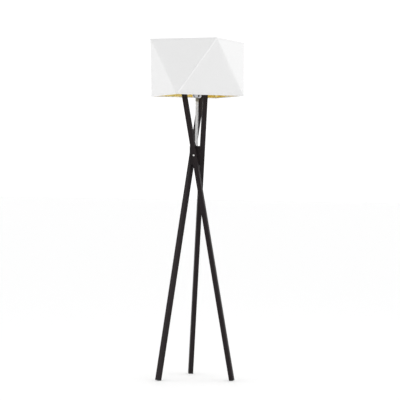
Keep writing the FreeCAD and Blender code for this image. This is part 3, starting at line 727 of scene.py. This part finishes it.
def make_small_parts():
    """Rounded copies of the CAD pieces whose shape needs no more than softer edges."""
    edges = {
        "stand": {
            "hub_inserts": 0.15, "friction_washers": 0.12, "rod_set_screw": 0.2, "lead_bush": 0.4,
            "rod": 0.25, "nipple": 0.2, "collar": 0.3, "holder_cap": 0.3, "nipple_nut": 0.25,
            "holder_block": 0.3, "terminal_screws": 0.25, "screw_sleeve": 0.15,
            "centre_contact": 0.3, "hub_bolts": 0.35,
        },
        "bulb": {"bulb_contact": 0.4, "bulb_insulator": 0.2, "bulb_board": 0.2},
        "shade": {"shade_fitter_frame": 0, "shade_top_wire": 0},
    }
    for body, widths in edges.items():
        for node, width in widths.items():
            refined(node, body, SLOTS[node], width * MM)
    for number in (1, 2, 3):
        refined(f"foot_nail_{number}", f"leg_{number}", "bolt_steel", 0.2 * MM)


def make_threads():
    """The holder's shell and the bulb's cap with real threads, and the ribbed ring nuts."""
    low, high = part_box("holder_shell")
    cap_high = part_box("holder_cap")[1]
    inner = high.x - 1.5 * MM
    height = high.z - cap_high.z
    shell = tube(
        "holder_shell_thread", cap_high.z, height, inner,
        thread_radius(high.x - 0.5 * MM, high.x, 3 * MM, height, 4 * MM), rows=120,
    )
    lip = lathe("holder_lip", [
        (inner, high.z - 1.1 * MM), (inner - 2.0 * MM, high.z - 1.1 * MM),
        (inner - 2.2 * MM, high.z - 0.5 * MM), (inner - 2.0 * MM, high.z),
        (high.x - 1.0 * MM, high.z + 0.02 * MM), (high.x - 0.6 * MM, high.z - 0.4 * MM),
    ])
    for item in (shell, lip):
        smooth(item, 40)
        dress(item, "stand", "holder_chrome", "holder_shell")
    for name in ("shade_nut_lower", "shade_nut_upper"):
        low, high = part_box(name)
        height = high.z - low.z
        nut = tube(
            f"{name}_ribbed", low.z, height, 20 * MM,
            knurl_radius(high.x, 0.35 * MM, 60, height, 0.6 * MM), segments=480, rows=16,
        )
        smooth(nut, 40)
        dress(nut, "stand", "shade_nut", name)
    low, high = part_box("bulb_cap")
    height = high.z - low.z
    cap = tube(
        "bulb_cap_thread", low.z, height, high.x - 1.6 * MM,
        thread_radius(high.x - 0.8 * MM, high.x, 3.6 * MM, height, 3 * MM), rows=96,
    )
    smooth(cap, 40)
    dress(cap, "bulb", "bulb_cap", "bulb_cap")


def rounded_profile(points):
    """More points on a smooth curve through the given (radius, height) points."""
    steps = 6
    path = [Vector((r, z, 0)) for r, z in points]
    padded = [path[0] * 2 - path[1], *path, path[-1] * 2 - path[-2]]
    out = []
    for index in range(1, len(padded) - 2):
        a, b, c, d = padded[index - 1:index + 3]
        for step in range(steps):
            t = step / steps
            square, cube = 2 * a - 5 * b + 4 * c - d, 3 * b - a - 3 * c + d
            p = 0.5 * (2 * b + (c - a) * t + square * t**2 + cube * t**3)
            out.append((max(0.0, p.x), p.y))
    return out + [points[-1]]


def make_bulb():
    """The bulb's moulded housing and its opal dome."""
    low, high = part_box("bulb_dome")
    radius, height = high.x, high.z - low.z
    shares = [
        (0.887, 0), (0.97, 0.2), (1, 0.4), (0.957, 0.6),
        (0.845, 0.76), (0.64, 0.89), (0.36, 0.968), (0, 1),
    ]
    outer = rounded_profile([(radius * x, low.z + height * y) for x, y in shares])
    wall = 1 * MM
    inner = [(max(0.0, r - wall * r / radius), z - wall * (z - low.z) / height) for r, z in outer]
    dome = lathe("bulb_dome_opal", outer + inner[::-1])
    smooth(dome, 40)
    dress(dome, "bulb", "bulb_dome", "bulb_dome")
    low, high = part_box("bulb_housing")
    neck, foot = 11.5 * MM, low.z + 4 * MM
    points = [
        (14.0, 0), (14.4, 1.2), (15.2, 5), (16.7, 10.5),
        (19.4, 16), (22.6, 21.5), (25.2, 26), (26.4, 29),
    ]
    outer = rounded_profile([(r * MM, foot + z * MM) for r, z in points])
    outer.append((26.5 * MM, foot + 30 * MM))
    inner = [(max(neck - wall, r - 1.6 * MM), z) for r, z in outer]
    profile = [(neck - wall, low.z), (neck, low.z), (neck, foot)] + outer + inner[::-1]
    housing = lathe("bulb_housing_moulded", profile)
    smooth(housing, 40)
    dress(housing, "bulb", "bulb_housing", "bulb_housing")


def paint_cad_nodes():
    """Give each CAD node that is still shown its own procedural material."""
    for name, item in NODES.items():
        item.data.materials.clear()
        item.data.materials.append(MATERIALS[SLOTS[name]])


# ---------------------------------------------------------------- surroundings


def make_floor():
    g = Graph("floor")
    grain = g.noise(g.coords("Object"), 40.0, 4.0, 0.6)
    colour = g.ramp(grain, [(0.3, 0.935), (0.7, 0.955)])
    rough = g.spread(grain, 0.7, 0.8)
    g.finish(Base_Color=colour, Roughness=rough, Normal=g.bump(grain, 0.05, 0.0005))
    reach = 60
    corners = [(-reach, -reach, 0), (reach, -reach, 0), (reach, reach, 0), (-reach, reach, 0)]
    floor = new_object("floor", corners, [(0, 1, 2, 3)])
    floor.data.materials.append(g.material)


def area_light(name, place, target, size, power):
    data = bpy.data.lights.new(name, "AREA")
    data.shape = "RECTANGLE"
    data.size, data.size_y = size
    data.energy = power
    item = bpy.data.objects.new(name, data)
    SCENE.collection.objects.link(item)
    item.location = place
    item.rotation_mode = "QUATERNION"
    item.rotation_quaternion = (Vector(target) - Vector(place)).to_track_quat("-Z", "Y")
    return item


VIEW_TURN = math.radians(17.66)


def from_camera_side(right, away, up):
    """A place given to the right of, away from and above the lamp as the camera sees it."""
    x = right * math.cos(VIEW_TURN) - away * math.sin(VIEW_TURN)
    y = right * math.sin(VIEW_TURN) + away * math.cos(VIEW_TURN)
    return Vector((x, y, up))


DIM_SIDE = (-0.42, -0.9, 0.1)  # right, away, up
BRIGHT = 1.12
DIM = 0.78


def make_world():
    """A white room that is dimmer on the side that the camera and its left hand are on."""
    world = bpy.data.worlds.new("studio")
    world.use_nodes = True
    tree = world.node_tree
    background = tree.nodes["Background"]
    coords = tree.nodes.new("ShaderNodeTexCoord")
    dot = tree.nodes.new("ShaderNodeVectorMath")
    dot.operation = "DOT_PRODUCT"
    dot.inputs[1].default_value = from_camera_side(*DIM_SIDE)
    tree.links.new(coords.outputs["Generated"], dot.inputs[0])
    ramp = tree.nodes.new("ShaderNodeMapRange")
    ramp.interpolation_type = "SMOOTHSTEP"
    for key, value in ((1, 0.0), (2, 1.0), (3, BRIGHT), (4, DIM)):
        ramp.inputs[key].default_value = value
    tree.links.new(dot.outputs["Value"], ramp.inputs[0])
    tree.links.new(ramp.outputs[0], background.inputs[1])
    background.inputs[0].default_value = (1, 1, 1, 1)
    SCENE.world = world


def make_lights():
    middle = (0, 0, 1.2)
    area_light("right", from_camera_side(2.3, -0.5, 3.5), middle, (1.6, 1.6), 10)
    area_light("left", from_camera_side(-1.5, -0.2, 1.35), (0, 0, 0.95), (0.35, 1.1), 1.8)
    make_world()


CAMERA_PLACE = (0.019, -7.804, 0.8956)  # right, away, up
CAMERA_PITCH = -0.0131
CAMERA_ROLL = 0.0125
CAMERA_LENS = 158.08


def make_camera():
    """The camera stands in front of the lamp at about chest height."""
    data = bpy.data.cameras.new("camera")
    data.sensor_width = 36
    data.lens = CAMERA_LENS
    camera = bpy.data.objects.new("camera", data)
    SCENE.collection.objects.link(camera)
    camera.location = from_camera_side(*CAMERA_PLACE)
    aim = from_camera_side(0, math.cos(CAMERA_PITCH), math.sin(CAMERA_PITCH))
    camera.rotation_mode = "QUATERNION"
    roll = Matrix.Rotation(CAMERA_ROLL, 3, "Z").to_quaternion()
    camera.rotation_quaternion = aim.to_track_quat("-Z", "Y") @ roll
    data.clip_end = 200
    SCENE.camera = camera


MATERIALS = make_materials()
paint_cad_nodes()
make_legs()
make_hub()
make_small_parts()
make_threads()
make_bulb()
make_shade()
make_floor()
make_lights()
make_camera()
SCENE.view_settings.view_transform = "Standard"
